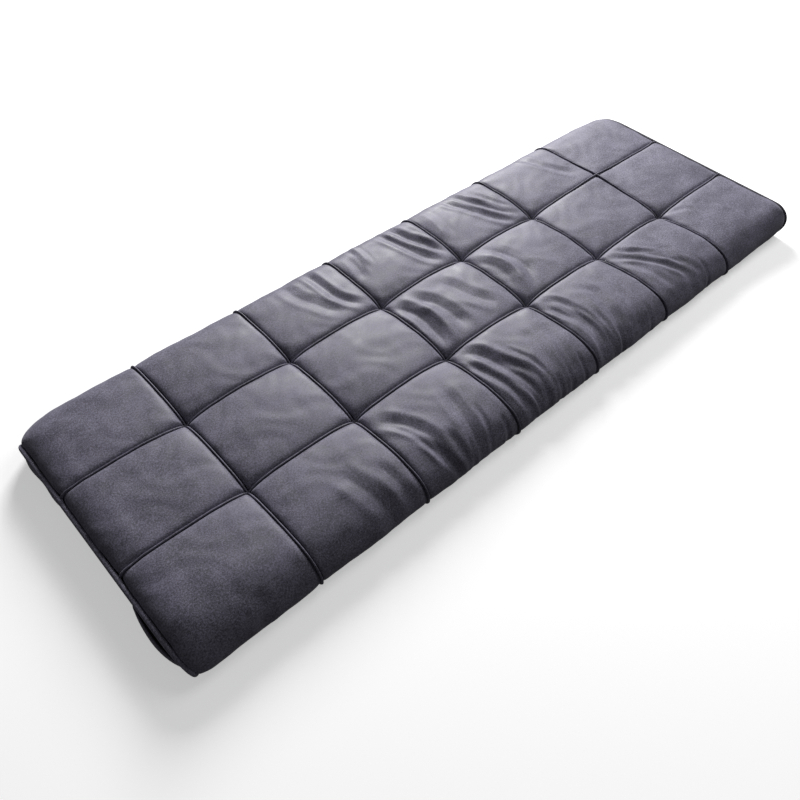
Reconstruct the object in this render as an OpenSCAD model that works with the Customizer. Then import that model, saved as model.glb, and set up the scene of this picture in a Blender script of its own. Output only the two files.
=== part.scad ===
// Long tufted futon mattress: a suede cover of puffed cells over batting and a foam core.
// X runs along the mattress, Y across it and Z up. The near end is at -X and the front at -Y.
// The origin is the centre of the underside.

/* [Cell grid] */
// Distance from one cross seam to the next
cell_l = 266; // [250:1:280]
// Distance from one long seam to the next
cell_w = 218; // [205:1:230]
// Extra length of an end cell, which rolls down over the end
end_extra = 7; // [4:1:14]
// Extra width of an outer cell, which rolls down over the side
side_extra = 6; // [4:1:12]

/* [Heights] */
// Height of the middle of each cell above the underside
crest_h = 88; // [84:1:96]
// Height of a tufted seam crossing above the underside
tuft_h = 53; // [50:1:58]
// Radius of the roll from the top face down to the sides and ends
roll_r = 40; // [34:1:44]

/* [Cover] */
// Thickness of the suede and of the underside lining
skin_t = 2; // [1.5:0.1:2.5]
// Thickness of the raised seam welts
welt_t = 4; // [3:0.5:5]
// How far a seam welt stands above the cells beside it
welt_rise = 3; // [2:0.5:4]
// Radius of the vertical corners of the cover
corner_r = 12; // [8:1:16]

/* [End piping] */
// Outer radius of the piping round each end panel
piping_r = 5; // [4:0.5:6]
// Radius of the filler cord inside the piping
filler_r = 3.4; // [2.4:0.1:3.6]
// Distance of the piping seam in from the sides
piping_inset = 14; // [13:1:20]
// Width of the piping's sewn flange
flange_w = 2; // [1.5:0.5:3]

/* [Closure in the near end] */
// Length of the open lip
lip_l = 164; // [120:2:170]
// Distance of the middle of the lip from the centre line, towards the front
lip_y = 233; // [225:1:235]
// How far the lip bows out of the end face
lip_bow = 10; // [6:1:10]
// Height of the lip's free edge above the underside
lip_top = 38; // [32:1:40]
// Width of the hook and loop tapes
tape_w = 16; // [12:1:18]

/* [Filling and ties] */
// Thickness of the batting under the foam
under_batting_t = 10; // [8:1:14]
// Thickness of the batting at the sides and ends of the foam
side_batting_t = 12; // [8:1:16]
// Height of the top of the foam core
foam_top = 44; // [40:1:46]
// Diameter of the tufting twine
twine_d = 3; // [2:0.5:4]
// Diameter of the anchor disc under each tuft
disc_d = 32; // [24:1:40]
// Thickness of the anchor discs
disc_t = 3; // [2:0.5:4]

/* [Hidden] */
columns = 7;
rows = 3;
row_names = ["front", "centre", "back"];
suede = [0.27, 0.27, 0.31];
suede_dark = [0.20, 0.20, 0.23];
lining_black = [0.10, 0.10, 0.11];
felt_white = [0.88, 0.87, 0.84];
foam_cream = [0.93, 0.88, 0.70];
twine_grey = [0.55, 0.53, 0.50];
tape_black = [0.07, 0.07, 0.07];

half_l = columns * cell_l / 2 + end_extra;
half_w = rows * cell_w / 2 + side_extra;
sag = crest_h - tuft_h;
half_diagonal = norm([cell_l / 2, cell_w / 2]);
dome_r = (half_diagonal * half_diagonal + sag * sag) / (2 * sag);
dome_centre_z = crest_h - dome_r;
cross_arc_r = sqrt(dome_r * dome_r - cell_l * cell_l / 4);
long_arc_r = sqrt(dome_r * dome_r - cell_w * cell_w / 4);
far = 40;
sky = crest_h + far;
gap = 0.2;

seam_z = crest_h - roll_r - flange_w / 2;
seam_low_z = 8;
seam_corner_r = 8;
seam_half_w = half_w - piping_inset;
welt_depth = skin_t / 2;

lip_r = (lip_l * lip_l / 4 + lip_bow * lip_bow) / (2 * lip_bow);
lip_centre_x = -half_l - lip_bow + lip_r;
lip_floor_z = seam_low_z + 2;
tape_t = 1.2;
tape_l = 0.6 * lip_l;
tape_low_z = lip_floor_z + skin_t + 3;

$fn = 180;

// Column and row positions, with columns counted from 1 and rows from 0.
function column_x(c) = (c - (columns + 1) / 2) * cell_l;
function cross_seam_x(k) = (k - columns / 2) * cell_l;
function row_y(r) = (r - (rows - 1) / 2) * cell_w;
function long_seam_y(side) = side * cell_w / 2;

// The crossing of the last cross seam and the back seam was never tied down.
function is_tied(k, side) = !(k == columns - 1 && side > 0);

// Stands a shape drawn in (y, z) up and extrudes it along X from x0 to x1.
module along_x(x0, x1) {
    translate([x0, 0, 0])
        rotate([90, 0, 90])
            linear_extrude(x1 - x0)
                children();
}

// Stands a shape drawn in (x, z) up and extrudes it along Y from y0 to y1.
module along_y(y0, y1) {
    translate([0, y1, 0])
        rotate([90, 0, 0])
            linear_extrude(y1 - y0)
                children();
}

// Section of the mattress from a side or an end, shrunk by inset, open upwards.
module roll_section(half, inset) {
    side = half - inset;
    shoulder = half - roll_r;
    translate([-side, -far])
        square([2 * side, crest_h - roll_r + far]);
    translate([-shoulder, -far])
        square([2 * shoulder, sky + far]);
    for (s = [-1, 1])
        translate([s * shoulder, crest_h - roll_r])
            circle(r = roll_r - inset);
}

// Rectangle with round corners, centred on the origin.
module round_rect(length, width, r) {
    square([length - 2 * r, width], center = true);
    square([length, width - 2 * r], center = true);
    for (sx = [-1, 1], sy = [-1, 1])
        translate([sx * (length / 2 - r), sy * (width / 2 - r)])
            circle(r = r, $fn = 60);
}

// Everything inside the sides, ends and corners of the cover, shrunk by inset.
module cover_sides(inset) {
    intersection() {
        along_x(-half_l - far, half_l + far)
            roll_section(half_w, inset);
        along_y(-half_w - far, half_w + far)
            roll_section(half_l, inset);
        translate([0, 0, -far])
            linear_extrude(sky + far)
                round_rect(2 * (half_l - inset), 2 * (half_w - inset), corner_r - inset);
    }
}

module cell_dome(c, r, inset) {
    translate([column_x(c), row_y(r), dome_centre_z])
        sphere(r = dome_r - inset);
}

// The space of one cell above height z0, with a margin kept free at its inner seams.
module cell_space(c, r, margin, z0) {
    x0 = c == 1 ? -half_l - far : column_x(c) - cell_l / 2 + margin;
    x1 = c == columns ? half_l + far : column_x(c) + cell_l / 2 - margin;
    y0 = r == 0 ? -half_w - far : row_y(r) - cell_w / 2 + margin;
    y1 = r == rows - 1 ? half_w + far : row_y(r) + cell_w / 2 - margin;
    translate([x0, y0, z0])
        cube([x1 - x0, y1 - y0, sky - z0]);
}

function is_outer(c, r) = c == 1 || c == columns || r == 0 || r == rows - 1;

module puffed_cell(c, r, inset) {
    if (is_outer(c, r)) {
        intersection() {
            cell_dome(c, r, inset);
            cover_sides(inset);
        }
    } else {
        cell_dome(c, r, inset);
    }
}

// Outline of the piping seam on an end face in (y, z), grown by extra.
module seam_outline(extra) {
    mid_z = (seam_z + seam_low_z) / 2;
    translate([0, mid_z])
        round_rect(2 * (seam_half_w + extra), seam_z - seam_low_z + 2 * extra, seam_corner_r + extra);
}

// The part of the end face that the top panels don't cover, in (y, z).
module end_cutout() {
    seam_outline(flange_w / 2);
    half = seam_half_w - seam_corner_r;
    translate([-half, 0])
        square([2 * half, seam_low_z + seam_corner_r]);
}

// One suede panel of the top: a thin puffed shell that also covers its side or end.
module top_panel(c, r) {
    color(suede)
        difference() {
            intersection() {
                cell_space(c, r, welt_t / 2, skin_t);
                difference() {
                    puffed_cell(c, r, 0);
                    puffed_cell(c, r, skin_t);
                }
            }
            if (c == 1)
                along_x(-half_l - 1, -half_l + skin_t)
                    end_cutout();
            if (c == columns)
                along_x(half_l - skin_t, half_l + 1)
                    end_cutout();
        }
}

// Section of the top along a cross seam in (y, z), grown by extra.
module cross_section(extra) {
    intersection() {
        roll_section(half_w, -extra);
        for (r = [0:rows - 1])
            intersection() {
                translate([row_y(r), dome_centre_z])
                    circle(r = cross_arc_r + extra);
                translate([row_y(r) - cell_w / 2 - (r == 0 ? far : 0), -far])
                    square([cell_w + (r == 1 ? 0 : far), sky + far]);
            }
    }
}

// A raised welt across the top and down both sides.
module cross_seam_welt(k) {
    color(suede_dark)
        along_x(cross_seam_x(k) - welt_t / 2, cross_seam_x(k) + welt_t / 2)
            difference() {
                cross_section(welt_rise);
                cross_section(-welt_depth);
                translate([-half_w - far, -far])
                    square([2 * (half_w + far), far + skin_t]);
            }
}

// Section of the top along a long seam within one column, in (x, z), grown by extra.
module long_section(c, extra) {
    intersection() {
        roll_section(half_l, -extra);
        translate([column_x(c), dome_centre_z])
            circle(r = long_arc_r + extra);
    }
}

// A raised welt along the mattress, in one length between each pair of cross seams.
module long_seam_welt(side) {
    z0 = seam_z + piping_r + gap;
    color(suede_dark)
        along_y(long_seam_y(side) - welt_t / 2, long_seam_y(side) + welt_t / 2)
            for (c = [1:columns]) {
                x0 = c == 1 ? -half_l - far : column_x(c) - (cell_l - welt_t) / 2;
                x1 = c == columns ? half_l + far : column_x(c) + (cell_l - welt_t) / 2;
                intersection() {
                    translate([x0, c == 1 || c == columns ? z0 : 0])
                        square([x1 - x0, sky]);
                    difference() {
                        long_section(c, welt_rise);
                        long_section(c, -welt_depth);
                    }
                }
            }
}

// A round bar of radius r that follows the piping seam, in the plane x = 0.
module seam_ring(r) {
    straight_y = seam_half_w - seam_corner_r;
    low = seam_low_z + seam_corner_r;
    high = seam_z - seam_corner_r;
    for (z = [seam_low_z, seam_z])
        translate([0, -straight_y, z])
            rotate([-90, 0, 0])
                cylinder(r = r, h = 2 * straight_y, $fn = 48);
    for (s = [-1, 1])
        translate([0, s * seam_half_w, low])
            cylinder(r = r, h = high - low, $fn = 48);
    for (s = [-1, 1], top = [0, 1])
        translate([0, s * straight_y, top == 1 ? high : low])
            rotate([90, 0, 90])
                rotate([0, 0, s > 0 ? (top == 1 ? 0 : -90) : (top == 1 ? 90 : 180)])
                    rotate_extrude(angle = 90)
                        translate([seam_corner_r, 0])
                            circle(r = r, $fn = 48);
}

// Mirrors a shape made for the far end to the near end.
module at_end(side) {
    if (side > 0)
        children();
    else
        mirror([1, 0, 0])
            children();
}

// Piping sleeve with its sewn flange, hollow for the filler cord.
module end_piping(side) {
    color(suede_dark)
        at_end(side)
            difference() {
                union() {
                    translate([half_l + piping_r, 0, 0])
                        seam_ring(piping_r);
                    along_x(half_l - skin_t, half_l + 2)
                        difference() {
                            seam_outline(flange_w / 2);
                            seam_outline(-flange_w / 2);
                        }
                }
                translate([half_l + piping_r, 0, 0])
                    seam_ring(filler_r);
            }
}

module piping_cord(side) {
    color(felt_white)
        at_end(side)
            translate([half_l + piping_r, 0, 0])
                seam_ring(filler_r - 0.05);
}

module far_end_panel() {
    color(suede)
        along_x(half_l - skin_t, half_l)
            seam_outline(-flange_w / 2);
}

// Plan of the bowed lip in (x, y): a round segment outside the end face.
module lip_plan(inset) {
    intersection() {
        translate([lip_centre_x, -lip_y])
            circle(r = lip_r - inset, $fn = 360);
        translate([-half_l - far, -lip_y - lip_l])
            square([far + skin_t, 2 * lip_l]);
    }
}

// The mouth that the lip opens in the near end face, in (y, z).
module mouth(clearance) {
    half = lip_l / 2 - 2 - clearance;
    z0 = lip_floor_z + skin_t + clearance;
    translate([-lip_y - half, z0])
        square([2 * half, seam_z - flange_w / 2 - z0]);
}

// Near end panel, with its top edge left open and bowed out towards the front.
module near_end_panel() {
    color(suede)
        union() {
            difference() {
                along_x(-half_l, -half_l + skin_t)
                    seam_outline(-flange_w / 2);
                along_x(-half_l - 1, -half_l + skin_t + 1)
                    mouth(0);
            }
            translate([0, 0, lip_floor_z])
                linear_extrude(skin_t)
                    lip_plan(0);
            translate([0, 0, lip_floor_z])
                linear_extrude(lip_top - lip_floor_z)
                    difference() {
                        lip_plan(0);
                        lip_plan(skin_t);
                    }
        }
}

// Strip behind the lip that closes the mouth and carries the hook tape.
module closure_facing() {
    color(suede_dark)
        along_x(-half_l, -half_l + skin_t)
            mouth(0.5);
}

module closure_hook_tape() {
    color(tape_black)
        translate([-half_l - tape_t, -lip_y - tape_l / 2, tape_low_z])
            cube([tape_t, tape_l, tape_w]);
}

module closure_loop_tape() {
    color(tape_black)
        translate([0, 0, tape_low_z])
            linear_extrude(tape_w)
                intersection() {
                    difference() {
                        lip_plan(skin_t);
                        lip_plan(skin_t + tape_t);
                    }
                    translate([-half_l - far, -lip_y - tape_l / 2])
                        square([far, tape_l]);
                }
}

// Flat sheet under the mattress, turned up to meet the piping at each end.
module underside_lining() {
    half = seam_half_w - seam_corner_r;
    color(lining_black)
        union() {
            linear_extrude(skin_t)
                round_rect(2 * half_l, 2 * half_w, corner_r);
            for (s = [-1, 1])
                translate([s > 0 ? half_l - skin_t : -half_l, -half, 0])
                    cube([skin_t, 2 * half, seam_low_z - flange_w / 2]);
        }
}

// Repeats its children at every tied crossing.
module at_tufts() {
    for (k = [1:columns - 1], side = [-1, 1])
        if (is_tied(k, side))
            translate([cross_seam_x(k), long_seam_y(side), 0])
                children();
}

module twine_holes() {
    at_tufts()
        translate([0, 0, -far])
            cylinder(d = twine_d + 2 * gap, h = sky + far, $fn = 24);
}

module tuft_twine() {
    color(twine_grey)
        at_tufts()
            translate([0, 0, skin_t])
                cylinder(d = twine_d, h = tuft_h - welt_depth - gap - skin_t, $fn = 24);
}

module tuft_anchor_discs() {
    color(felt_white)
        at_tufts()
            translate([0, 0, skin_t])
                difference() {
                    cylinder(d = disc_d, h = disc_t, $fn = 48);
                    translate([0, 0, -1])
                        cylinder(d = twine_d + 2 * gap, h = disc_t + 2, $fn = 24);
                }
}

module under_batting() {
    color(felt_white)
        difference() {
            translate([0, 0, skin_t])
                linear_extrude(under_batting_t)
                    round_rect(2 * (half_l - skin_t), 2 * (half_w - skin_t), corner_r - skin_t);
            at_tufts()
                translate([0, 0, -1])
                    cylinder(d = disc_d + 2 * gap, h = skin_t + disc_t + gap + 1, $fn = 48);
            twine_holes();
        }
}

// The foam slab's outline, reaching up to height z1.
module foam_block(z1) {
    z0 = skin_t + under_batting_t;
    x = half_l - skin_t - side_batting_t;
    y = half_w - skin_t - side_batting_t;
    translate([-x, -y, z0])
        cube([2 * x, 2 * y, z1 - z0]);
}

module foam_core() {
    color(foam_cream)
        difference() {
            foam_block(foam_top);
            twine_holes();
        }
}

// Batting over the foam and down its sides, puffed up to fill the cells.
module top_batting() {
    color(felt_white)
        difference() {
            intersection() {
                union()
                    for (c = [1:columns], r = [0:rows - 1])
                        intersection() {
                            cell_dome(c, r, skin_t);
                            cell_space(c, r, 0, skin_t + under_batting_t);
                        }
                cover_sides(skin_t);
            }
            foam_block(foam_top);
            twine_holes();
        }
}

for (r = [0:rows - 1], c = [1:columns])
    top_panel(c, r);
for (k = [1:columns - 1])
    cross_seam_welt(k);
long_seam_welt(-1);  // front_seam_welt
long_seam_welt(1);  // back_seam_welt
near_end_panel();
far_end_panel();
end_piping(-1);  // near_end_piping
end_piping(1);  // far_end_piping
piping_cord(-1);  // near_piping_cord
piping_cord(1);  // far_piping_cord
closure_facing();
closure_hook_tape();
closure_loop_tape();
underside_lining();
under_batting();
foam_core();
top_batting();
tuft_twine();
tuft_anchor_discs();
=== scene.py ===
"""A long tufted futon mattress in dark suede, lying on a pale floor.

The cover is drawn on a flat map of the mattress. On the map, s runs along the mattress and t across it,
both as distances over the surface, so that they carry on over the ends and down the sides.
rolled() turns the map into the smooth rolled shape, and sink() says how far each point lies below it.
"""
import math

import bmesh
import bpy
import numpy as np
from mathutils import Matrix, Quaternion, Vector


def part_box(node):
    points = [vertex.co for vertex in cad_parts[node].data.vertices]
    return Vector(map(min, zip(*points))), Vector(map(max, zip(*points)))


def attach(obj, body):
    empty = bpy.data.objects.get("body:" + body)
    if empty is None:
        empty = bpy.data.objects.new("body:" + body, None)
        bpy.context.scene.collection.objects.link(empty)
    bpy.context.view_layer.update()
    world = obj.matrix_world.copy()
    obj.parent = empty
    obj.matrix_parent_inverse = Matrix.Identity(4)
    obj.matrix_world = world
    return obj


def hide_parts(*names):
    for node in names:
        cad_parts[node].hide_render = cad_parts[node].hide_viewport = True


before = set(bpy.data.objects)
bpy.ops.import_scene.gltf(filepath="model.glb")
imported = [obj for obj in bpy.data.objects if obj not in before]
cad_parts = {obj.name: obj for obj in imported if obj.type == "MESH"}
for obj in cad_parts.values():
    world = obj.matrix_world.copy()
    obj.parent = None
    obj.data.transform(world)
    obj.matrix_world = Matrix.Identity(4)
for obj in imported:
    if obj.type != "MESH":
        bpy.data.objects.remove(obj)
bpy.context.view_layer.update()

BODY = "root"
COLUMNS = 7
ROW_NAMES = ("front", "centre", "back")


# ---------------------------------------------------------------- sizes, from the frame

def middle(node, axis):
    """Middle of a CAD node's box along one axis."""
    low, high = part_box(node)
    return (low[axis] + high[axis]) / 2


CROSS_SEAMS = [middle(f"cross_seam_welt_{k}", 0) for k in range(1, COLUMNS)]
LONG_SEAMS = [middle(f"{side}_seam_welt", 1) for side in ("front", "back")]
HALF_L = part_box("underside_lining")[1][0]
HALF_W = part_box("underside_lining")[1][1]
CREST_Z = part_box("centre_panel_4")[1][2]
TUFT_DEPTH = CREST_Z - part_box("tuft_twine")[1][2]
LIP_Y = middle("closure_facing", 1)
LIP_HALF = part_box("closure_facing")[1][1] - LIP_Y

PITCH_X = CROSS_SEAMS[1] - CROSS_SEAMS[0]
PITCH_Y = LONG_SEAMS[1] - LONG_SEAMS[0]
UNTIED = (CROSS_SEAMS[-1], LONG_SEAMS[1])
TUFTS = [(x, y) for x in CROSS_SEAMS for y in LONG_SEAMS if (x, y) != UNTIED]

PIPING_Z = 0.058
HEM_Z = 0.003
SIDE_BULGE = 0.004

# Rolls are a width and a height. The cover rolls over the sides, and over each end down to the piping.
SIDE_ROLL = (0.108, 0.062)
TIGHT_ROLL = (0.050, 0.052)
TIGHT_REACH = 0.200
TIGHT_BACK = 0.45
TIGHT_BACK_CORNER = 0.20
CORNER_IN = 0.016
CORNER_IN_REACH = 0.110
SIDE_TUCK = 0.014
NEAR_ROLL = (0.062, CREST_Z - PIPING_Z)
FAR_ROLL = (0.040, 0.015)
FAR_FULLNESS = 0.010
END_TUCK = 0.026
END_TUCK_POWER = 1.6
END_TUCK_REACH = 0.06
BACK_DROP = 0.70
FRONT_DROP = 0.35
ROLL_STEPS = 40
DOWN_STEPS = 20


# ---------------------------------------------------------------- the smooth rolled shape

def roll_curve(half, roll, z_end, tuck):
    """Half of a section, from the middle out: distance along it, place, height and outward normal."""
    angles = np.linspace(math.pi / 2, 0, ROLL_STEPS)
    across = np.concatenate([[0], half - roll[0] + roll[0] * np.cos(angles)])
    height = np.concatenate([[CREST_Z], CREST_Z - roll[1] + roll[1] * np.sin(angles)])
    if z_end is not None:
        down = np.linspace(0, 1, DOWN_STEPS)[1:]
        across = np.concatenate([across, half - tuck * down**2])
        height = np.concatenate([height, height[-1] + (z_end - height[-1]) * down])
    steps = np.hypot(np.diff(across), np.diff(height))
    along = np.concatenate([[0], np.cumsum(steps)])
    lean = np.gradient(across, along), np.gradient(height, along)
    return along, across, height, -lean[1], lean[0]


SIDE = roll_curve(HALF_W + SIDE_BULGE, SIDE_ROLL, HEM_Z, SIDE_TUCK)
TIGHT_SIDE = roll_curve(HALF_W + SIDE_BULGE, TIGHT_ROLL, HEM_Z, SIDE_TUCK)
NEAR_END = roll_curve(HALF_L, NEAR_ROLL, None, 0)
FAR_END = roll_curve(HALF_L + FAR_FULLNESS, FAR_ROLL, None, 0)
S_LIMITS = (-NEAR_END[0][-1], FAR_END[0][-1])
T_MAX = SIDE[0][-1]
FLAT_T = 0.13
TIGHT_STRETCH = (TIGHT_SIDE[0][-1] - FLAT_T) / (T_MAX - FLAT_T)


def smooth_step(value):
    """0 to 1 with a soft start and a soft stop."""
    f = np.clip(value, 0, 1)
    return f * f * (3 - 2 * f)


def follow(curve, distance):
    """Place, height and outward normal on a section at signed distances from its middle."""
    sign = np.sign(distance)
    place, height, out, up = (np.interp(np.abs(distance), curve[0], c) for c in curve[1:])
    return sign * place, height, sign * out, up


def past_end(s):
    """Distance left on the map before the piping, at either end."""
    return np.minimum(s - S_LIMITS[0], S_LIMITS[1] - s)


def unit(v):
    """Vectors scaled to length 1."""
    return v / np.maximum(np.linalg.norm(v, axis=-1, keepdims=True), 1e-9)


def tightness(s, t):
    """Share of the tighter side roll: high along the back and at the far front corner."""
    at_end = smooth_step(1 - past_end(s) / TIGHT_REACH)
    back = TIGHT_BACK + (TIGHT_BACK_CORNER - TIGHT_BACK) * at_end
    return np.where(t > 0, back, at_end * (s > 0))


def on_tight_roll(t):
    """Map distances along the side roll, changed to distances along the tighter one."""
    past_flat = np.maximum(np.abs(t) - FLAT_T, 0)
    return t + np.sign(t) * past_flat * (TIGHT_STRETCH - 1)


def end_x(side):
    """Distance of an end's piping seam from the middle of the mattress."""
    return HALF_L + (side > 0) * FAR_FULLNESS


def end_tuck(z):
    """How far the upright end faces lie inside the piping at a height."""
    return END_TUCK * np.clip((PIPING_Z - z) / (PIPING_Z - HEM_Z), 0, 1) ** END_TUCK_POWER


def rolled(s, t):
    """The smooth shape and its outward normal at map places (s, t)."""
    share_tight = tightness(s, t)
    wide, tight = follow(SIDE, t), follow(TIGHT_SIDE, on_tight_roll(t))
    y, z, out_y, up = (a + (b - a) * share_tight for a, b in zip(wide, tight))
    near, far = follow(NEAR_END, s), follow(FAR_END, s)
    x, end_z, out_x, end_up = (np.where(s < 0, a, b) for a, b in zip(near, far))
    drop = CREST_Z - end_z
    share = np.where(t > 0, BACK_DROP, FRONT_DROP)
    keep = share + (1 - share) * np.clip(up, 0, 1)
    y, z = y - out_y * drop * keep, z - up * drop * keep
    tuck = end_tuck(z) * smooth_step(1 - past_end(s) / END_TUCK_REACH)
    drawn_in = CORNER_IN * (s < 0) * (t > 0) * smooth_step(1 - past_end(s) / CORNER_IN_REACH)
    place = np.stack([x - np.sign(s) * tuck, y - out_y * drawn_in, z], -1)
    normal = np.stack([out_x, out_y * end_up, up * end_up], -1)
    return place, unit(normal)


# ---------------------------------------------------------------- how far the cover is pulled in

TUFT_METRIC = 0.9
TUFT_TIP = 0.002
TUFT_NEAR = 0.015
TUFT_WIDE = 0.056
NEAR_SHARE = 0.55
WIDE_SHARE = 0.45
TUFT_SPARE = 0.002
VALLEY_DEPTH = 0.0050
VALLEY_WIDTH = 0.0042
CROWN = 0.0048
EDGE_DEPTH = 0.0068
EDGE_WIDTH = 0.0036
PIPING_CREASE = 0.6
HEM_START = 0.062
HEM_REACH = 0.085
END_START = 0.008
END_REACH = 0.040
WEAKEST_PULL = 0.18
UNTIED_RISE = 0.8
UNTIED_REACH = 0.10
SLOW_BUMP = 0.0011
FINE_BUMP = 0.0005

# Wrinkles, each as its depth, its half-width and its route over the map, all in millimetres.
# Most routes trace wrinkles of the photo and the rest were placed one by one. All are rounded to 5 mm.
# They fan out from the tufts, and reach the hem at t = 390 or so on either side.
FOLDS = [
    (6.2, 13, [(-120, -110), (-105, -130), (-80, -155), (-65, -210), (-55, -265), (-50, -310), (-50, -380)]),
    (3.5, 7, [(-60, -190), (-40, -235), (-25, -285), (-30, -330), (-40, -375)]),
    (4.0, 9, [(-120, -125), (-115, -160), (-105, -215), (-95, -270), (-90, -320), (-85, -385)]),
    (2.5, 6, [(-80, -240), (-75, -285), (-65, -330), (-65, -375)]),
    (1.6, 9, [(100, -180), (85, -245), (70, -290), (55, -350)]),
    (1.4, 10, [(40, -150), (40, -200), (30, -250), (20, -310)]),
    (5.0, 10, [(140, -125), (155, -150), (165, -195), (175, -240), (175, -280), (165, -325), (155, -385)]),
    (4.0, 9, [(145, -115), (165, -135), (185, -165), (190, -225), (190, -280), (185, -330), (180, -380)]),
    (2.2, 7, [(225, -225), (215, -280), (205, -330), (195, -385)]),
    (3.0, 12, [(260, -140), (270, -200), (255, -260), (240, -315), (230, -380)]),
    (1.5, 8, [(325, -200), (320, -260), (300, -320), (290, -375)]),
    (4.5, 8, [(405, -120), (430, -150), (470, -205), (500, -260), (530, -310)]),
    (2.8, 8, [(420, -115), (460, -150), (500, -205), (535, -260), (560, -325)]),
    (1.6, 8, [(405, -125), (420, -165), (435, -215), (450, -270), (460, -330)]),
    (1.4, 7, [(670, -115), (700, -125), (730, -145), (745, -180)]),
    (2.5, 12, [(540, -150), (535, -215), (520, -285), (505, -370)]),
    (3.5, 12, [(-385, -130), (-365, -160), (-350, -180), (-330, -215), (-320, -255), (-320, -325),
               (-310, -385)]),
    (3.0, 12, [(-215, -165), (-220, -210), (-230, -250), (-240, -300), (-250, -385)]),
    (3.0, 8, [(-350, -225), (-335, -270), (-320, -320), (-305, -380)]),
    (2.2, 8, [(-290, -250), (-285, -310), (-275, -380)]),
    (2.6, 14, [(-520, -190), (-505, -250), (-490, -310), (-490, -385)]),
    (2.0, 10, [(-450, -220), (-440, -280), (-435, -370)]),
    (1.6, 11, [(-765, -290), (-780, -325), (-790, -355), (-800, -385)]),
    (6.2, 14, [(-125, 95), (-115, 75), (-100, 45), (-95, 10), (-100, -30), (-105, -65), (-120, -100)]),
    (4.0, 14, [(-80, 85), (-55, 50), (-40, 20), (-35, -20), (-35, -60), (-50, -90)]),
    (3.0, 14, [(5, 90), (30, 45), (40, 0), (60, -45), (90, -80)]),
    (-4.0, 13, [(150, 95), (175, 65), (190, 25), (190, -20), (175, -60), (160, -90)]),
    (2.2, 13, [(205, 80), (220, 35), (225, -15), (215, -70)]),
    (4.0, 10, [(-210, 330), (-205, 285), (-205, 240), (-200, 190), (-175, 145), (-150, 120)]),
    (2.0, 12, [(-275, 335), (-275, 255), (-260, 210), (-235, 160), (-190, 125)]),
    (-2.2, 7, [(-50, 330), (-55, 300), (-60, 260), (-70, 215)]),
    (1.6, 9, [(-90, 290), (-95, 240), (-110, 190)]),
    (5.5, 10, [(60, 340), (65, 300), (75, 245), (90, 210), (105, 170), (120, 125)]),
    (4.0, 10, [(20, 330), (30, 280), (45, 205), (65, 150), (100, 120)]),
    (-2.0, 10, [(110, 310), (115, 265), (120, 220), (125, 175)]),
    (4.5, 9, [(280, 340), (290, 295), (300, 255), (320, 220), (345, 170), (380, 120)]),
    (3.5, 9, [(250, 330), (255, 275), (270, 240), (285, 205), (320, 140), (370, 120)]),
    (2.5, 8, [(330, 290), (345, 240), (355, 200), (380, 150)]),
    (-2.2, 12, [(160, 320), (170, 270), (160, 215), (150, 165)]),
    (2.5, 10, [(560, 330), (570, 280), (590, 215), (640, 135)]),
    (1.8, 5, [(-30, -170), (-15, -215), (-5, -260), (-10, -310)]),
    (1.6, 5, [(65, -270), (50, -310), (45, -350), (40, -385)]),
    (2.2, 5, [(20, -300), (10, -335), (5, -385)]),
    (2.0, 4, [(100, -290), (90, -330), (90, -385)]),
    (1.4, 4, [(-85, -290), (-80, -330), (-75, -385)]),
    (1.6, 5, [(-370, -170), (-350, -215), (-340, -260), (-335, -320)]),
    (2.0, 5, [(-260, -300), (-265, -340), (-270, -385)]),
    (1.8, 5, [(-190, -240), (-200, -290), (-215, -340), (-220, -385)]),
    (2.2, 5, [(-160, -300), (-165, -340), (-170, -385)]),
    (1.6, 5, [(205, -190), (205, -240), (200, -290), (190, -350)]),
    (2.0, 5, [(240, -300), (230, -340), (225, -385)]),
    (1.6, 5, [(350, -280), (340, -330), (330, -385)]),
    (1.4, 5, [(440, -140), (485, -170), (530, -220), (560, -270)]),
    (1.8, 5, [(585, -280), (580, -330), (570, -385)]),
    (1.6, 5, [(45, 335), (50, 290), (60, 235), (80, 180)]),
    (1.4, 5, [(260, 335), (270, 290), (285, 245), (310, 190)]),
]
FOLD_DEPTH = 1.60
FOLD_WIDTH = 1.10
FOLD_MASK = 0.007
FOLD_TIP = 0.27
TROUGH = 1.25
TROUGH_ROUND = 0.05
RIDGE = 0.42
RIDGE_PLACE = 1.9
RIDGE_WIDTH = 0.7
FOLD_REACH = 4
ROUTE_STEPS = 6


def hold(distance, start, reach):
    """How much a seam still pulls at a distance from the edge of the cover."""
    return WEAKEST_PULL + (1 - WEAKEST_PULL) * smooth_step((distance - start) / reach)


def tuft_wells(s, t):
    """Deep wells at the tied crossings, wider along the seams than between them."""
    total = 0
    for x, y in TUFTS:
        ds, dt = s - x, t - y
        r = np.sqrt(ds**2 + dt**2 + TUFT_TIP**2)
        between = (2 * ds * dt / r**2) ** 2
        r = r * (1 + TUFT_METRIC * between)
        total = total + NEAR_SHARE * np.exp(-r / TUFT_NEAR) + WIDE_SHARE * np.exp(-r / TUFT_WIDE)
    return (TUFT_DEPTH - CROWN * 2 - VALLEY_DEPTH - TUFT_SPARE) * total


def seam_distance(s, t):
    """Distance to the nearest cross seam and to the nearest long seam."""
    cross = np.min([np.abs(s - x) for x in CROSS_SEAMS], axis=0)
    long = np.min([np.abs(t - y) for y in LONG_SEAMS], axis=0)
    return cross, long


def bumps(s, t):
    """Slow uneven swelling of the batting."""
    wave = np.sin(s * 31 + 1.3 * np.sin(t * 23)) * np.sin(t * 37 + 1.1 * np.sin(s * 17 + 2))
    fine = np.sin(s * 83 + 2.1 * np.sin(t * 41 + 1)) * np.sin(t * 71 + 1.7 * np.sin(s * 47))
    return SLOW_BUMP * wave + FINE_BUMP * fine


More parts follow.
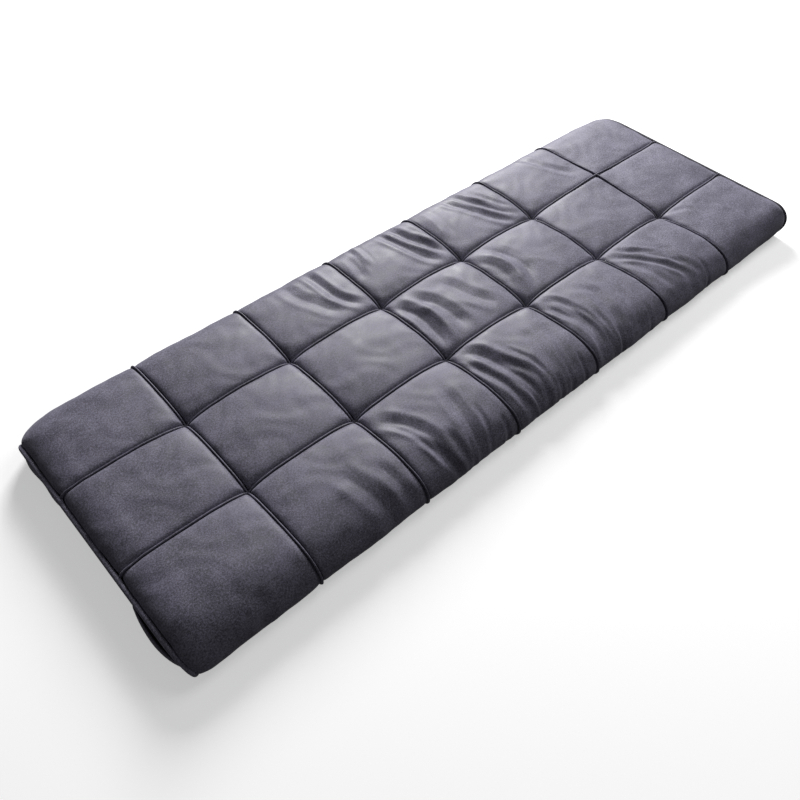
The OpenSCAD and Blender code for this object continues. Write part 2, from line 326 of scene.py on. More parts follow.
def seam_sink(s, t):
    """Sink of the seams, the tufts and the crowned cells, without wrinkles or folded-in edges."""
    cross, long = seam_distance(s, t)
    hem = hold(T_MAX - np.abs(t), HEM_START, HEM_REACH)
    end = hold(past_end(s), END_START, END_REACH)
    p = 1 - np.clip(cross / (PITCH_X / 2), 0, 1)
    q = 1 - np.clip(long / (PITCH_Y / 2), 0, 1)
    crown = CROWN * (hem * p**2 + end * q**2)
    past_cross = 1 - hem * np.exp(-cross / VALLEY_WIDTH)
    past_long = 1 - end * np.exp(-long / VALLEY_WIDTH)
    free = 1 - UNTIED_RISE * np.exp(-((s - UNTIED[0]) ** 2 + (t - UNTIED[1]) ** 2) / UNTIED_REACH**2)
    pulled = crown + VALLEY_DEPTH * (1 - past_cross * past_long)
    return tuft_wells(s, t) + pulled * free + bumps(s, t)


def rounded_route(route):
    """A smooth curve through the points of a route, in metres."""
    points = np.array(route, float) / 1000
    ends = np.vstack([2 * points[0] - points[1], points, 2 * points[-1] - points[-2]])
    curve = []
    for a, b, c, d in zip(ends, ends[1:], ends[2:], ends[3:]):
        for f in np.linspace(0, 1, ROUTE_STEPS, endpoint=False):
            curve.append(b + f * (c - a) / 2 + f**2 * (a - 2.5 * b + 2 * c - d / 2)
                         + f**3 * (1.5 * (b - c) + (d - a) / 2))
    return np.array(curve + [points[-1]])


def nearest_on(curve, s, t):
    """Distance from each map place to a curve, and the share of the curve's length reached there."""
    lengths = np.linalg.norm(np.diff(curve, axis=0), axis=1)
    starts = np.concatenate([[0], np.cumsum(lengths)])
    best = np.full(s.shape, np.inf)
    share = np.zeros(s.shape)
    for (x0, y0), (x1, y1), length, start in zip(curve, curve[1:], lengths, starts):
        f = np.clip(((s - x0) * (x1 - x0) + (t - y0) * (y1 - y0)) / length**2, 0, 1)
        away = np.hypot(s - x0 - f * (x1 - x0), t - y0 - f * (y1 - y0))
        share = np.where(away < best, (start + f * length) / starts[-1], share)
        best = np.minimum(away, best)
    return best, share


def cell_of(s, t):
    """Column and row of the cell that holds a map place."""
    return sum(s > x for x in CROSS_SEAMS), sum(t > y for y in LONG_SEAMS)


def fold_sink(s, t):
    """Sink of the wrinkles of one cell: a soft trough with a low ridge on either side of it."""
    cross, long = seam_distance(s, t)
    total = np.zeros(s.shape)
    cell = cell_of(s.mean(), t.mean())
    for depth, width, route in FOLDS:
        curve = rounded_route(route)
        if cell_of(*curve[len(curve) // 2]) != cell:
            continue
        away, share = nearest_on(curve, s, t)
        away = away / (FOLD_WIDTH * width / 1000)
        fade = smooth_step(np.minimum(share, 1 - share) / FOLD_TIP)
        trough = TROUGH * np.exp(-np.sqrt(away**2 + TROUGH_ROUND))
        ridge = RIDGE * np.exp(-((away - RIDGE_PLACE) / RIDGE_WIDTH) ** 2)
        near = np.exp(-((away / FOLD_REACH) ** 4))
        total = total + FOLD_DEPTH * depth / 1000 * fade * near * (trough - ridge)
    mask = 1 - np.exp(-np.minimum(cross, long) / FOLD_MASK)
    return total * mask


def sink(s, t):
    """Sink of a panel: seams, cells, wrinkles and the edges folded down into the seams."""
    cross, long = seam_distance(s, t)
    edge = np.exp(-cross / EDGE_WIDTH) + np.exp(-long / EDGE_WIDTH)
    edge = edge + PIPING_CREASE * np.exp(-past_end(s) / EDGE_WIDTH)
    return seam_sink(s, t) + fold_sink(s, t) + EDGE_DEPTH * edge


def surface(s, t, depth):
    """Points of the cover at map places, at a depth below the smooth shape."""
    place, normal = rolled(s, t)
    return place - normal * depth[..., None]


# ---------------------------------------------------------------- mesh helpers

def mesh_piece(name, points, faces, slot, nodes, look=None):
    """A new piece that rides on the body and stands for the given CAD nodes."""
    mesh = bpy.data.meshes.new(name)
    mesh.from_pydata([tuple(p) for p in np.asarray(points, float)], [], [tuple(f) for f in faces])
    mesh.update()
    mesh.polygons.foreach_set("use_smooth", [True] * len(mesh.polygons))
    piece = bpy.data.objects.new(name, mesh)
    bpy.context.collection.objects.link(piece)
    mesh.materials.append(MATERIALS[look or slot])
    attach(piece, BODY)
    if nodes:
        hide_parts(*nodes)
    return piece


def grid_faces(rows, columns, wrap=False):
    """Quads of a grid of points. With wrap, the last column joins the first."""
    last = columns if wrap else columns - 1
    faces = []
    for i in range(rows - 1):
        this, after = i * columns, (i + 1) * columns
        for j in range(last):
            k = (j + 1) % columns
            faces.append((this + j, after + j, after + k, this + k))
    return faces


def thicken(piece, thickness, offset=-1):
    """Gives a sheet its thickness, on the side of its surface that offset says."""
    solid = piece.modifiers.new("thickness", "SOLIDIFY")
    solid.thickness = thickness
    solid.offset = offset
    solid.use_even_offset = False


FINEST = 0.0008
COARSEST = 0.0038
GROWTH = 1.35


def graded(a, b, fine_a, fine_b):
    """Places from a to b, close together at the ends that need it."""
    steps = [0]
    step = FINEST
    while step < COARSEST:
        steps.append(step)
        step *= GROWTH
    spread = np.cumsum(steps)
    head = a + spread if fine_a else np.array([a])
    tail = b - spread[::-1] if fine_b else np.array([b])
    count = max(2, round((tail[0] - head[-1]) / COARSEST))
    inner = np.linspace(head[-1], tail[0], count + 1)[1:-1]
    return np.concatenate([head, inner, tail])


def sweep(path, side, up, radius_side, radius_up, sides=10, closed=False):
    """Points and faces of a bar that follows a path, with the given half-width and half-height."""
    angles = np.linspace(0, 2 * math.pi, sides, endpoint=False)
    ring = np.cos(angles)[None, :, None] * side[:, None, :] * radius_side
    ring = ring + np.sin(angles)[None, :, None] * up[:, None, :] * radius_up
    points = (path[:, None, :] + ring).reshape(-1, 3)
    faces = grid_faces(len(path), sides, wrap=True)
    last = (len(path) - 1) * sides
    if closed:
        faces += [(last + j, j, (j + 1) % sides, last + (j + 1) % sides) for j in range(sides)]
    else:
        faces.append(tuple(range(sides)))
        faces.append(tuple(range(last + sides - 1, last - 1, -1)))
    return points, faces


# ---------------------------------------------------------------- materials

def shader(name, roughness, sheen=0.0, sheen_tint=(1, 1, 1), specular=0.5):
    """A new material and its main shader."""
    material = bpy.data.materials.new(name)
    material.use_nodes = True
    nodes = material.node_tree.nodes
    bsdf = nodes["Principled BSDF"]
    bsdf.inputs["Roughness"].default_value = roughness
    bsdf.inputs["Sheen Weight"].default_value = sheen
    bsdf.inputs["Sheen Roughness"].default_value = 0.45
    bsdf.inputs["Sheen Tint"].default_value = (*sheen_tint, 1)
    bsdf.inputs["Specular IOR Level"].default_value = specular
    return material, bsdf


def node(material, kind, **settings):
    """A new node of a material, with the given settings."""
    made = material.node_tree.nodes.new(kind)
    for key, value in settings.items():
        setattr(made, key, value)
    return made


def noise(material, coords, scale, detail, rough, stretch=(1, 1, 1)):
    """A noise texture. Its scale is per metre."""
    mapping = node(material, "ShaderNodeMapping")
    mapping.inputs["Scale"].default_value = stretch
    texture = node(material, "ShaderNodeTexNoise")
    texture.inputs["Scale"].default_value = scale
    texture.inputs["Detail"].default_value = detail
    texture.inputs["Roughness"].default_value = rough
    links = material.node_tree.links
    links.new(coords, mapping.inputs["Vector"])
    links.new(mapping.outputs["Vector"], texture.inputs["Vector"])
    return texture.outputs["Fac"]


def ramp(material, value, stops):
    """A colour ramp through (place, colour) stops."""
    made = node(material, "ShaderNodeValToRGB")
    elements = made.color_ramp.elements
    while len(elements) > 1:
        elements.remove(elements[-1])
    for i, (place, colour) in enumerate(stops):
        element = elements[0] if i == 0 else elements.new(place)
        element.position = place
        element.color = (*colour, 1)
    material.node_tree.links.new(value, made.inputs["Fac"])
    return made.outputs["Color"]


def mix_values(material, a, b, factor):
    """a and b mixed, with the given share of b."""
    made = node(material, "ShaderNodeMix", data_type="FLOAT")
    made.inputs["Factor"].default_value = factor
    material.node_tree.links.new(a, made.inputs["A"])
    material.node_tree.links.new(b, made.inputs["B"])
    return made.outputs["Result"]


def bump(material, height, strength, distance):
    """Fine relief on the material's shader."""
    made = node(material, "ShaderNodeBump")
    made.inputs["Strength"].default_value = strength
    made.inputs["Distance"].default_value = distance
    material.node_tree.links.new(height, made.inputs["Height"])
    bsdf = material.node_tree.nodes["Principled BSDF"]
    material.node_tree.links.new(made.outputs["Normal"], bsdf.inputs["Normal"])


def object_coords(material):
    return node(material, "ShaderNodeTexCoord").outputs["Object"]


SUEDE_BASE = np.array([0.120, 0.113, 0.156])
NAP_TINT = (0.80, 0.82, 0.95)


def suede(name, shade, sheen=0.30):
    """Brushed microfibre: fine mottled grain, cloudy nap and a soft bluish sheen."""
    material, bsdf = shader(name, 0.58, sheen, NAP_TINT, specular=0.45)
    links = material.node_tree.links
    coords = object_coords(material)
    grain = noise(material, coords, scale=560, detail=4, rough=0.7)
    mottle = noise(material, coords, scale=320, detail=4, rough=0.7)
    cloud = noise(material, coords, scale=16, detail=3, rough=0.5, stretch=(1, 1.5, 1))
    tone = mix_values(material, mix_values(material, grain, mottle, 0.6), cloud, 0.15)
    base = SUEDE_BASE * shade
    colour = ramp(material, tone, [(0.41, base * 0.40), (0.5, base), (0.59, base * 1.9)])
    links.new(colour, bsdf.inputs["Base Color"])
    wear = mix_values(material, mottle, cloud, 0.4)
    rough = ramp(material, wear, [(0.35, (0.46,) * 3), (0.65, (0.72,) * 3)])
    links.new(rough, bsdf.inputs["Roughness"])
    bump(material, mix_values(material, grain, mottle, 0.5), strength=0.35, distance=0.0015)
    return material


def plain_cloth(name, base, scale, sheen=0.1, spread=0.25, strength=0.3):
    """Matt cloth or fill of one colour, with a fine grain at the given scale and slow cloudy patches."""
    material, bsdf = shader(name, 0.85, sheen)
    coords = object_coords(material)
    fine = noise(material, coords, scale, detail=4, rough=0.7)
    slow = noise(material, coords, scale / 12, detail=2, rough=0.5)
    tone = mix_values(material, fine, slow, 0.4)
    base = np.array(base)
    colour = ramp(material, tone, [(0.3, base * (1 - spread)), (0.7, base * (1 + spread))])
    material.node_tree.links.new(colour, bsdf.inputs["Base Color"])
    bump(material, fine, strength, distance=0.001)
    return material


def woven(name, base, threads):
    """Plain weave lining, with warp and weft from two wave textures."""
    material, bsdf = shader(name, 0.8, 0.1)
    links = material.node_tree.links
    coords = object_coords(material)
    waves = []
    for direction in ("X", "Y"):
        wave = node(material, "ShaderNodeTexWave", bands_direction=direction)
        wave.inputs["Scale"].default_value = threads
        wave.inputs["Distortion"].default_value = 1.5
        wave.inputs["Detail Scale"].default_value = 2
        links.new(coords, wave.inputs["Vector"])
        waves.append(wave.outputs["Fac"])
    weave = mix_values(material, waves[0], waves[1], 0.5)
    tone = mix_values(material, weave, noise(material, coords, scale=30, detail=3, rough=0.5), 0.35)
    base = np.array(base)
    colour = ramp(material, tone, [(0.2, base * 0.6), (0.8, base * 1.4)])
    links.new(colour, bsdf.inputs["Base Color"])
    bump(material, weave, strength=0.4, distance=0.0006)
    return material


# The far piping's look is painted shade: a much darker copy of the piping suede, with almost no sheen, so
# that the far piping looks shaded. It is only a look: the far piping keeps the slot suede_piping.
MATERIALS = {
    "suede": suede("suede", 1.0),
    "suede_welt": suede("suede_welt", 1.0),
    # Painted light: the piping suede is 1.25 times lighter than the panel suede, to make the near piping and
    # the lip hem look more brightly lit.
    "suede_piping": suede("suede_piping", 1.25),
    "suede_piping_painted_shade": suede("suede_piping_painted_shade", 0.30, 0.02),
    "filler_cord": plain_cloth("filler_cord", (0.75, 0.73, 0.68), 700),
    "closure_tape": plain_cloth("closure_tape", (0.02, 0.02, 0.022), 900, strength=0.8),
    "lining": woven("lining", (0.030, 0.030, 0.034), 260),
    "batting": plain_cloth("batting", (0.80, 0.79, 0.76), 160, sheen=0.4, spread=0.1, strength=0.8),
    "foam": plain_cloth("foam", (0.85, 0.76, 0.50), 500, sheen=0, spread=0.12, strength=0.6),
    "twine": plain_cloth("twine", (0.30, 0.28, 0.25), 1200),
    "felt": plain_cloth("felt", (0.70, 0.69, 0.66), 400, sheen=0.3),
}


# ---------------------------------------------------------------- top panels

WELT_GAP = 0.0012
SLOT_GAP = 0.0044
PANEL_T = 0.0016
WELT_R = 0.0018


def span(seams, index, limits, low_gap, high_gap):
    """Range of one cell on the map, and which of its ends is a seam."""
    a = seams[index - 1] + low_gap if index > 0 else limits[0]
    b = seams[index] - high_gap if index < len(seams) else limits[1]
    return a, b, index > 0, index < len(seams)


def top_panel(column, row):
    """The suede of one cell, with its edges folded down into the seams."""
    a, b, _, _ = span(CROSS_SEAMS, column, S_LIMITS, SLOT_GAP, WELT_GAP)
    s = graded(a, b, True, True)
    a, b, seam_a, seam_b = span(LONG_SEAMS, row, (-T_MAX, T_MAX), WELT_GAP, SLOT_GAP)
    t = graded(a, b, seam_a, seam_b)
    s_grid, t_grid = np.meshgrid(s, t, indexing="ij")
    points = surface(s_grid, t_grid, sink(s_grid, t_grid))
    name = f"{ROW_NAMES[row]}_panel_{column + 1}"
    panel = mesh_piece(f"suede_{name}", points.reshape(-1, 3), grid_faces(len(s), len(t)), "suede", [name])
    thicken(panel, PANEL_T)


# ---------------------------------------------------------------- seam welts

WELT_LIFT = 0.0018
WELT_STRETCH = 1.25
ALLOWANCE_DEPTH = 0.0070
ALLOWANCE_HALF = 0.0085


def welt_points(s, t):
    """Centre line, side direction and up direction of a welt through map places (s, t)."""
    _, normal = rolled(s, t)
    path = surface(s, t, seam_sink(s, t) - WELT_LIFT)
    tangent = unit(np.gradient(path, axis=0))
    side = unit(np.cross(tangent, normal))
    return path, side, unit(np.cross(side, tangent))


def piped_seam(s, t):
    """The raised cord of a seam, the web that holds it and the flat allowance below."""
    path, side, up = welt_points(s, t)
    cord = sweep(path, side, up, WELT_R, WELT_R * WELT_STRETCH)
    allowance = sweep(path - up * ALLOWANCE_DEPTH, side, up, ALLOWANCE_HALF, WELT_R / 2)
    web = sweep(path - up * ALLOWANCE_DEPTH / 2, side, up, WELT_R / 2, ALLOWANCE_DEPTH / 2)
    return [cord, web, allowance]


def joined(parts):
    """One list of points and faces from several."""
    points, faces, base = [], [], 0
    for part_points, part_faces in parts:
        points.append(part_points)
        faces += [tuple(base + i for i in f) for f in part_faces]
        base += len(part_points)
    return np.concatenate(points), faces


def cross_welt(k):
    """The welt of one cross seam, from hem to hem."""
    t = np.concatenate([graded(-T_MAX, LONG_SEAMS[0], False, True)[:-1],
                        graded(LONG_SEAMS[0], LONG_SEAMS[1], True, True)[:-1],
                        graded(LONG_SEAMS[1], T_MAX, True, False)])
    points, faces = joined(piped_seam(np.full_like(t, CROSS_SEAMS[k]), t))
    name = f"cross_seam_welt_{k + 1}"
    mesh_piece(f"suede_{name}", points, faces, "suede_welt", [name])


def long_welt(side_index):
    """The welt of one long seam, in one length for each column."""
    side_name = ("front", "back")[side_index]
    lengths = []
    for column in range(COLUMNS):
        a, b, seam_a, seam_b = span(CROSS_SEAMS, column, S_LIMITS, WELT_R, WELT_R)
        s = graded(a, b, seam_a, seam_b)
        lengths += piped_seam(s, np.full_like(s, LONG_SEAMS[side_index]))
    name = f"{side_name}_seam_welt"
    mesh_piece(f"suede_{name}", *joined(lengths), "suede_welt", [name])


# ---------------------------------------------------------------- ends

PIPING_R = 0.0052
PIPING_OUT = 0.0034
PIPING_LIFT = 0.0006
CORD_R = 0.0034
SEAM_STEPS = 301
BOTTOM_STEPS = 150


def end_top(side):
    """The piping seam of an end, from one hem up over the top and down to the other."""
    t = np.linspace(-T_MAX, T_MAX, SEAM_STEPS)
    return rolled(np.full_like(t, S_LIMITS[side > 0]), t)[0]


def end_outline(side, outward, lift):
    """Closed line round an end: the piping seam and the hem below it."""
    place = end_top(side) + [side * outward, 0, 0]
    lean = np.gradient(place, axis=0)
    place = place + unit(np.cross(lean, [side, 0, 0]) * -side) * lift
    bottom = np.linspace(place[-1], place[0], BOTTOM_STEPS)[1:-1]
    return np.concatenate([place, bottom])


def smooth_loop(points, passes):
    """A closed line with its points drawn towards their neighbours, once for each pass."""
    for _ in range(passes):
        points = (np.roll(points, 1, 0) + 2 * points + np.roll(points, -1, 0)) / 4
    return points


def piping_bar(side, radius, sides):
    """A round bar along the piping line of an end."""
    path = smooth_loop(end_outline(side, PIPING_OUT, PIPING_LIFT), passes=6)
    path[:, 2] = np.maximum(path[:, 2], PIPING_R)
    tangent = unit(np.roll(path, -1, 0) - np.roll(path, 1, 0))
    out = np.tile([side, 0.0, 0.0], (len(path), 1))
    across = unit(np.cross(tangent, out))
    return sweep(path, out, across, radius, radius, sides, closed=True)


def end_piping(side, name):
    """The piping of an end and the filler cord inside it."""
    points, faces = piping_bar(side, PIPING_R, 16)
    # Painted shade: the far piping takes the much darker copy of the piping suede.
    look = "suede_piping_painted_shade" if side > 0 else None
    mesh_piece(f"suede_{name}_end_piping", points, faces, "suede_piping", [f"{name}_end_piping"], look)
    points, faces = piping_bar(side, CORD_R, 8)
    mesh_piece(f"cord_{name}_piping", points, faces, "filler_cord", [f"{name}_piping_cord"])


LIP_OUT = 0.0200
LIP_DROP = 0.022
LIP_BELLY = 0.006
LIP_END = 0.012
PANEL_RINGS = 24
PANEL_BELOW_SEAM = 0.003
PANEL_BEHIND_SEAM = 0.0005
PANEL_NARROWING = 0.02
PANEL_PUFF = 0.004
LOOSE_PUFF = 0.012
LOOSE_START = -0.02
LOOSE_REACH = 0.20


def lip_shape(y):
    """1 where the near end's closure lip stands free, falling to 0 at its two ends."""
    bow = np.sqrt(np.clip(1 - ((y - LIP_Y) / LIP_HALF) ** 2, 0, 1))
    return bow * smooth_step((LIP_HALF - np.abs(y - LIP_Y)) / LIP_END)


def end_place(side, top, f):
    """Points of an end panel at the share f of the way down from the piping seam to the hem."""
    near = side < 0
    lip = near * lip_shape(top[:, 1])
    start = top[:, 2] - PANEL_BELOW_SEAM - LIP_DROP * lip
    z = np.maximum(start, HEM_Z) * (1 - f) + HEM_Z * f
    deep = np.clip((top[:, 2] - HEM_Z) / (PIPING_Z - HEM_Z), 0, 1)
    y = top[:, 1] * (1 - PANEL_NARROWING * f)
    loose = near * smooth_step((y - LOOSE_START) / LOOSE_REACH) * (0.85 + 0.15 * np.sin(y * 62))
    puff = (PANEL_PUFF + LOOSE_PUFF * loose) * np.sin(np.pi * f**0.8) * deep
    held = lip * (LIP_OUT + LIP_BELLY * np.sin(np.pi * f)) * (1 - f**6)
    out = end_x(side) - PANEL_BEHIND_SEAM - end_tuck(z) + puff + held
    return np.stack([side * out, y, z], -1)


def cloth_strip(name, node, slot, rows, thickness):
    """A sewn strip of cloth through rows of points."""
    points = np.concatenate(rows)
    faces = grid_faces(len(rows), len(rows[0]))
    piece = mesh_piece(name, points, faces, slot, [node])
    thicken(piece, thickness, 0)


def end_panel(side, name):
    """The upright panel of an end, from under the piping down to the hem."""
    top = end_top(side)
    rows = [end_place(side, top, f) for f in np.linspace(0, 1, PANEL_RINGS)]
    cloth_strip(f"suede_{name}", name, "suede", rows, PANEL_T)


# ---------------------------------------------------------------- closure behind the near end's lip

TAPE_T = 0.0012
FACING_BELOW_SEAM = 0.007
FACING_WAVE = 0.0006
FACING_GRID = (60, 14)
TAPE_GRID = (70, 12)
LIP_HEM_R = (0.0018, 0.0016)
LIP_HEM_SHIFT = (-0.0008, 0, 0.0006)


def closure_facing():
    """The strip that closes the opening behind the lip."""
    low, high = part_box("closure_facing")
    along, upward = FACING_GRID
    y, share = np.meshgrid(np.linspace(low[1], high[1], along), np.linspace(0, 1, upward), indexing="ij")
    seam = end_top(-1)
    seam = seam[seam[:, 2] > PIPING_Z / 2]
    top_z = np.interp(y, seam[:, 1], seam[:, 2]) - FACING_BELOW_SEAM
    z = low[2] + (top_z - low[2]) * share
    x = -(HALF_L - end_tuck(z)) + FACING_WAVE * np.sin(y * 160) * np.sin(z * 130)
    rows = list(np.stack([x, y, z], -1).transpose(1, 0, 2))
    cloth_strip("suede_closure_facing", "closure_facing", "suede", rows, TAPE_T)


def closure_tape(node, on_lip):
    """A strip of hook or loop tape, on the facing or on the inner face of the lip."""
    low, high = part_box(node)
    y, z = np.meshgrid(np.linspace(low[1], high[1], TAPE_GRID[0]),
                       np.linspace(low[2], high[2], TAPE_GRID[1]), indexing="ij")
    out = HALF_L - end_tuck(z) + TAPE_T
    if on_lip:
        out = out + lip_shape(y) * LIP_OUT - 2 * TAPE_T
    rows = list(np.stack([-out, y, z], -1).transpose(1, 0, 2))
    cloth_strip(f"tape_{node}", node, "closure_tape", rows, TAPE_T)


def lip_hem():
    """The thin rolled hem along the free edge of the lip."""
    top = end_top(-1)
    top = top[(np.abs(top[:, 1] - LIP_Y) < LIP_HALF) & (top[:, 2] > PIPING_Z / 2)]
    path = end_place(-1, top, 0) + LIP_HEM_SHIFT
    tangent = unit(np.gradient(path, axis=0))
    side = unit(np.cross(tangent, [0.0, 0.0, 1.0]))
    points, faces = sweep(path, side, unit(np.cross(side, tangent)), *LIP_HEM_R)
    # Painted light: the hem takes the lightened piping suede, which makes it look brightly lit.
    mesh_piece("suede_lip_hem", points, faces, "suede_piping", [])


# ---------------------------------------------------------------- filling

LAYER_ROUND = 0.020
BATTING_EASE = 0.015
LAYER_HALF_L = 0.900
LAYER_HALF_W = 0.308
LAYER_GRID = (260, 90)
LAYER_GAP = 0.001
UNDER_BATTING_Z = (0.0045, 0.0118)
FOAM_BOTTOM_Z = 0.0126
TOP_BATTING_LEAST = 0.003
FOAM_DIMPLE = (0.014, 0.035)
UNDER_DIMPLE = (0.003, 0.022)


def dimples(x, y, width):
    """1 at each tuft, falling off over the given width."""
    return sum(np.exp(-((x - a) ** 2 + (y - b) ** 2) / width**2) for a, b in TUFTS)


def under_cover(x, y):
    """Height of the inside of the cover over a place in plan."""
    side_z = np.interp(np.abs(y), SIDE[1][:ROLL_STEPS], SIDE[2][:ROLL_STEPS])
    end_z = np.interp(np.abs(x), NEAR_END[1], NEAR_END[2])
    return side_z + end_z - CREST_Z - seam_sink(x, y) - BATTING_EASE


def soft_layer(name, node, slot, bottom, top):
    """A layer of filling with rounded edges. bottom and top give its heights over the plan."""
    x, y = np.meshgrid(np.linspace(-LAYER_HALF_L, LAYER_HALF_L, LAYER_GRID[0]),
                       np.linspace(-LAYER_HALF_W, LAYER_HALF_W, LAYER_GRID[1]), indexing="ij")
    inside = np.minimum(LAYER_HALF_L - np.abs(x), LAYER_HALF_W - np.abs(y))
    full = np.sqrt(1 - (1 - np.clip(inside / LAYER_ROUND, 0, 1)) ** 2)
    low, high = bottom(x, y), top(x, y)
    middle_z, half = (low + high) / 2, (high - low) / 2 * full
    points = [np.stack([x, y, middle_z + sign * half], -1).reshape(-1, 3) for sign in (1, -1)]
    upper = [f[::-1] for f in grid_faces(*LAYER_GRID)]
    lower = [tuple(i + x.size for i in f) for f in grid_faces(*LAYER_GRID)]
    piece = mesh_piece(name, np.concatenate(points), upper + lower, slot, [node])
    weld(piece)


def weld(piece):
    """Joins the points that share a place."""
    mesh = bmesh.new()
    mesh.from_mesh(piece.data)
    bmesh.ops.remove_doubles(mesh, verts=mesh.verts, dist=1e-5)
    mesh.to_mesh(piece.data)
    mesh.free()


def under_batting_bottom(x, y):
    depth, width = UNDER_DIMPLE
    return UNDER_BATTING_Z[0] + depth * dimples(x, y, width)


def under_batting_top(x, y):
    return np.full_like(x, UNDER_BATTING_Z[1])


def foam_bottom(x, y):
    return np.full_like(x, FOAM_BOTTOM_Z)


def foam_top(x, y):
    depth, width = FOAM_DIMPLE
    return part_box("foam_core")[1][2] - depth * dimples(x, y, width)


def top_batting_bottom(x, y):
    return foam_top(x, y) + LAYER_GAP


def top_batting_top(x, y):
    return np.maximum(under_cover(x, y), foam_top(x, y) + TOP_BATTING_LEAST)


def filling():
    """The three layers of filling, from the bottom up."""
    soft_layer("batting_under", "under_batting", "batting", under_batting_bottom, under_batting_top)
    soft_layer("foam_core_block", "foam_core", "foam", foam_bottom, foam_top)
    soft_layer("batting_top", "top_batting", "batting", top_batting_bottom, top_batting_top)


TWINE_R = 0.0007
TWINE_APART = 0.0009
TWINE_TURN = 260
TWINE_LOW_Z = 0.0035
TWINE_SPARE = 0.002
TWINE_STEPS = 30
DISC_SIDES = 28

# The disc's section as radius and share of its height.
DISC_PROFILE = [(0.0016, 0.5), (0.003, 0.9), (0.008, 1.0), (0.0135, 0.95), (0.0155, 0.6), (0.0155, 0.3),
                (0.0135, 0.0), (0.003, 0.0), (0.0016, 0.4)]


def tuft_ties():
    """Two twisted strands of twine at each tuft, held under the filling by a felt disc."""
    strands, discs = [], []
    z = np.linspace(TWINE_LOW_Z, CREST_Z - TUFT_DEPTH - TWINE_SPARE, TWINE_STEPS)
    for x, y in TUFTS:
        for start in (0, math.pi):
            angle = start + z * TWINE_TURN
            path = np.stack([x + TWINE_APART * np.cos(angle), y + TWINE_APART * np.sin(angle), z], -1)
            along_x = np.tile([1.0, 0, 0], (len(z), 1))
            along_y = np.tile([0, 1.0, 0], (len(z), 1))
            strands.append(sweep(path, along_x, along_y, TWINE_R, TWINE_R, sides=8))
        discs.append(felt_disc(x, y))
    mesh_piece("twine_tuft_ties", *joined(strands), "twine", ["tuft_twine"])
    mesh_piece("felt_anchor_discs", *joined(discs), "felt", ["tuft_anchor_discs"])


def felt_disc(x, y):
    """A soft round disc, thinner at its rim and pressed in where the twine passes."""
    low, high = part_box("tuft_anchor_discs")[0][2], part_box("tuft_anchor_discs")[1][2]
    points = []
    for radius, share in DISC_PROFILE:
        for angle in np.linspace(0, 2 * math.pi, DISC_SIDES, endpoint=False):
            place = (x + radius * math.cos(angle), y + radius * math.sin(angle), low + (high - low) * share)
            points.append(place)
    return np.array(points), grid_faces(len(DISC_PROFILE), DISC_SIDES, wrap=True)


# ---------------------------------------------------------------- underside

HEM_STEPS = 600
HEM_SHARE = 0.025
LINING_GRID = (240, 84)
LINING_T = 0.0006
LINING_LOW_Z = 0.0004
LINING_WAVE = 0.0006
LINING_DIMPLE = (0.0030, 0.022)


def hem_line(side, x):
    """Across-the-mattress place and height of a side's hem at places along the mattress."""
    s = np.linspace(*S_LIMITS, HEM_STEPS)
    place, _ = rolled(s, np.full_like(s, side * T_MAX))
    return np.interp(x, place[:, 0], place[:, 1]), np.interp(x, place[:, 0], place[:, 2])


def lining():
    """The woven sheet under the mattress, drawn up a little at each tuft and sewn to the hems."""
    half_l = HALF_L - END_TUCK
    rows, columns = LINING_GRID
    x, across = np.meshgrid(np.linspace(-half_l, half_l + FAR_FULLNESS, rows),
                            np.linspace(0, 1, columns), indexing="ij")
    (front_y, front_z), (back_y, back_z) = hem_line(-1, x), hem_line(1, x)
    y = front_y + (back_y - front_y) * across
    wave = 1 + np.sin(x * 21 + np.sin(y * 13)) * np.sin(y * 17 + 0.7)
    depth, width = LINING_DIMPLE
    flat_z = LINING_LOW_Z + LINING_WAVE * wave + depth * dimples(x, y, width)
    hem_z = np.where(across < 0.5, front_z, back_z)
    rise = smooth_step(1 - np.minimum(across, 1 - across) / HEM_SHARE)
    z = flat_z + np.maximum(hem_z - flat_z, 0) * rise
    points = np.stack([x, y, z], -1).reshape(-1, 3)
    piece = mesh_piece("lining_underside", points, grid_faces(rows, columns), "lining", ["underside_lining"])
    thicken(piece, LINING_T, 1)


# ---------------------------------------------------------------- floor, light and camera

FLOOR_HALF = 12
KEY_PLACE = (2.25, 2.95, 1.85)
KEY_WATTS = 250
TOP_PLACE = (1.3, -0.1, 1.9)
TOP_WATTS = 15
STUDIO_GLOW = 0.085

# The camera stands as the photo's did, from a fit of the seam crossings.
CAMERA_LENS = 35.1
CAMERA_PLACE = (-1.0335, -0.9008, 1.3205)
CAMERA_LOOK = (0.4503, 0.4667, -0.7612)
CAMERA_RIGHT = (0.7405, -0.6716, 0.0263)


def floor():
    """A plain pale floor."""
    mesh = bpy.data.meshes.new("floor")
    corners = [(x * FLOOR_HALF, y * FLOOR_HALF, 0) for x, y in ((-1, -1), (1, -1), (1, 1), (-1, 1))]
    mesh.from_pydata(corners, [], [(0, 1, 2, 3)])
    stage = bpy.data.objects.new("floor", mesh)
    bpy.context.collection.objects.link(stage)
    material, bsdf = shader("floor", 0.9)
    bsdf.inputs["Base Color"].default_value = (0.86, 0.86, 0.865, 1)
    bsdf.inputs["Emission Color"].default_value = (1, 1, 1, 1)
    bsdf.inputs["Emission Strength"].default_value = 0.45
    mesh.materials.append(material)
    stage.visible_diffuse = False
    stage.visible_glossy = False


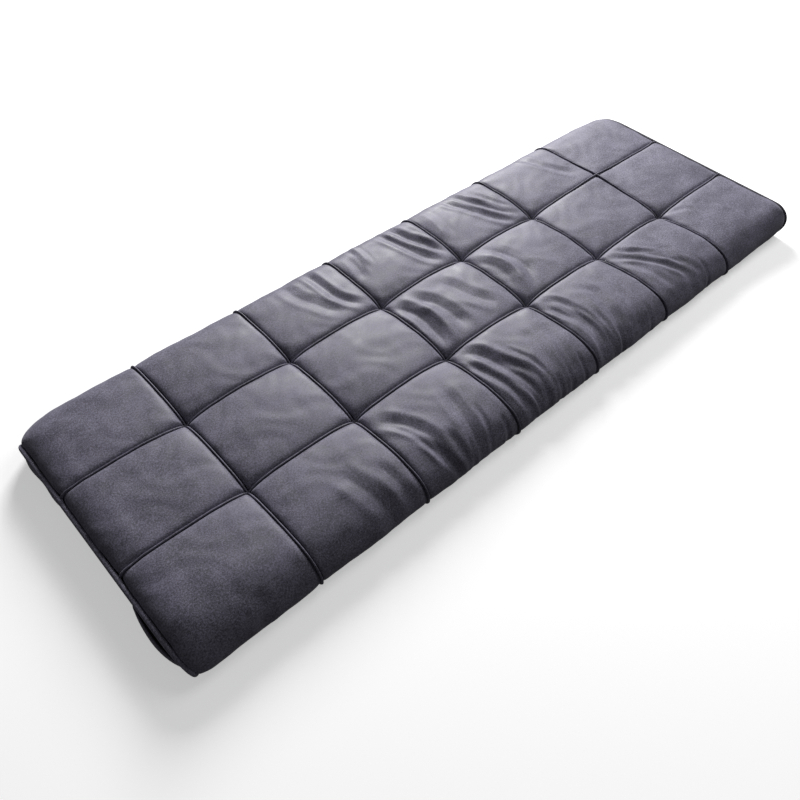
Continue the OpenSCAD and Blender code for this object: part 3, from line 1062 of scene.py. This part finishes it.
def area_light(name, place, target, size, watts, colour=(1, 1, 1)):
    """A square lamp that faces its target."""
    lamp = bpy.data.lights.new(name, "AREA")
    lamp.shape = "RECTANGLE"
    lamp.size = size
    lamp.size_y = size
    lamp.energy = watts
    lamp.color = colour
    light = bpy.data.objects.new(name, lamp)
    light.location = place
    light.rotation_euler = (Vector(target) - Vector(place)).to_track_quat("-Z", "Y").to_euler()
    bpy.context.collection.objects.link(light)


def lights():
    """A key light beyond the far back corner, a weak one above and a faint glow all round."""
    area_light("key", KEY_PLACE, (0.1, 0, 0), 1.5, KEY_WATTS, (1, 0.99, 1))
    area_light("top", TOP_PLACE, (0.3, 0, 0), 1.2, TOP_WATTS)
    world = bpy.data.worlds.new("studio")
    world.use_nodes = True
    background = world.node_tree.nodes["Background"]
    background.inputs["Color"].default_value = (1, 1, 1, 1)
    background.inputs["Strength"].default_value = STUDIO_GLOW
    bpy.context.scene.world = world
    bpy.context.scene.view_settings.view_transform = "Standard"


def camera():
    data = bpy.data.cameras.new("camera")
    data.lens = CAMERA_LENS
    cam = bpy.data.objects.new("camera", data)
    cam.location = CAMERA_PLACE
    look = Vector(CAMERA_LOOK)
    turn = look.to_track_quat("-Z", "Y").to_matrix()
    right = Vector(CAMERA_RIGHT)
    level = turn @ Vector((1, 0, 0))
    roll = math.atan2(level.cross(right).dot(look), level.dot(right))
    cam.rotation_mode = "QUATERNION"
    cam.rotation_quaternion = Quaternion(look, roll) @ look.to_track_quat("-Z", "Y")
    bpy.context.collection.objects.link(cam)
    bpy.context.scene.camera = cam


camera()
lights()
floor()
for row in range(len(ROW_NAMES)):
    for column in range(COLUMNS):
        top_panel(column, row)
for k in range(COLUMNS - 1):
    cross_welt(k)
for side_index in range(2):
    long_welt(side_index)
for side, name in ((-1, "near"), (1, "far")):
    end_piping(side, name)
    end_panel(side, f"{name}_end_panel")
closure_facing()
closure_tape("closure_hook_tape", False)
closure_tape("closure_loop_tape", True)
lip_hem()
filling()
tuft_ties()
lining()
